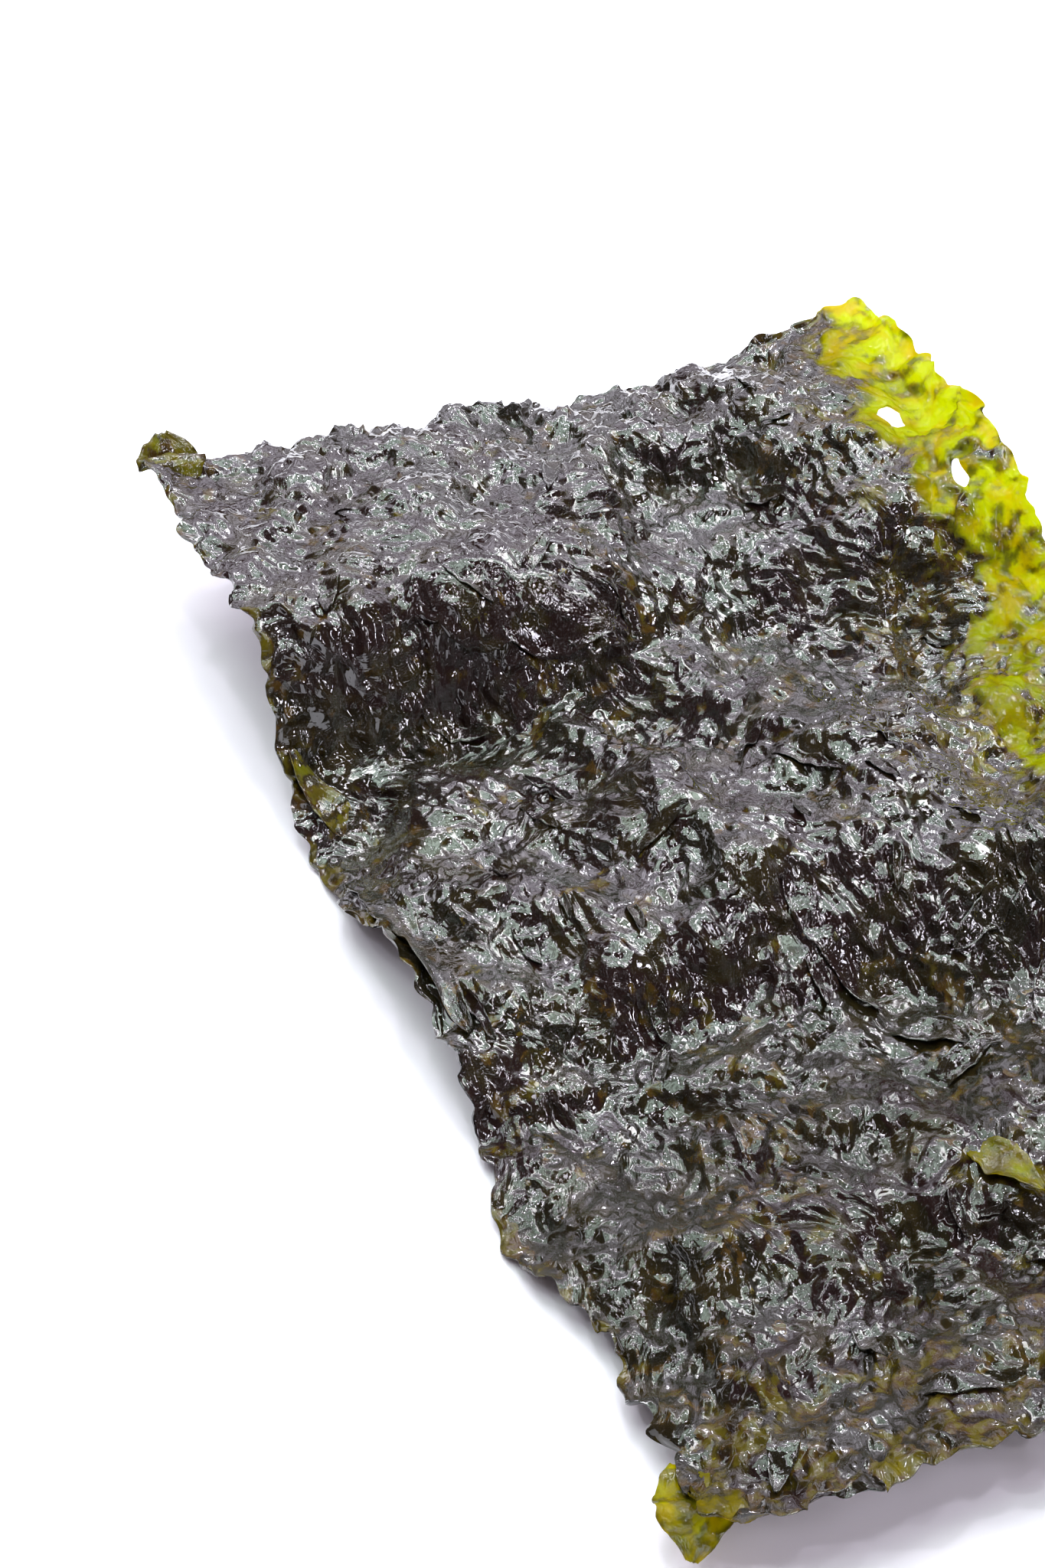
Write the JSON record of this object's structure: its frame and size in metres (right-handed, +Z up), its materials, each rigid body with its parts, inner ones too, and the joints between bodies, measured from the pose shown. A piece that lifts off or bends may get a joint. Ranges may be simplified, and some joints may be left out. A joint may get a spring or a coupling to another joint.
{
  "type": "nori sheet",
  "caption": "Crisp roasted seaweed sheet, cut to a long rectangle, dried in folds, with ragged edges and a thin translucent margin.",
  "frame": {"origin": "on the ground under the middle of the sheet's outline", "axes": "+Y along the sheet's length towards its far end, +X across its width to the right, +Z up"},
  "size_m": [0.0518, 0.0854, 0.0116],
  "materials": {
    "roasted_nori": "glossy, oiled and finely wrinkled, near black with green and mauve sheen, yellow-green where thin"
  },
  "bodies": {
    "root": {"nori_sheet": "roasted_nori"}
  },
  "joints": []
}
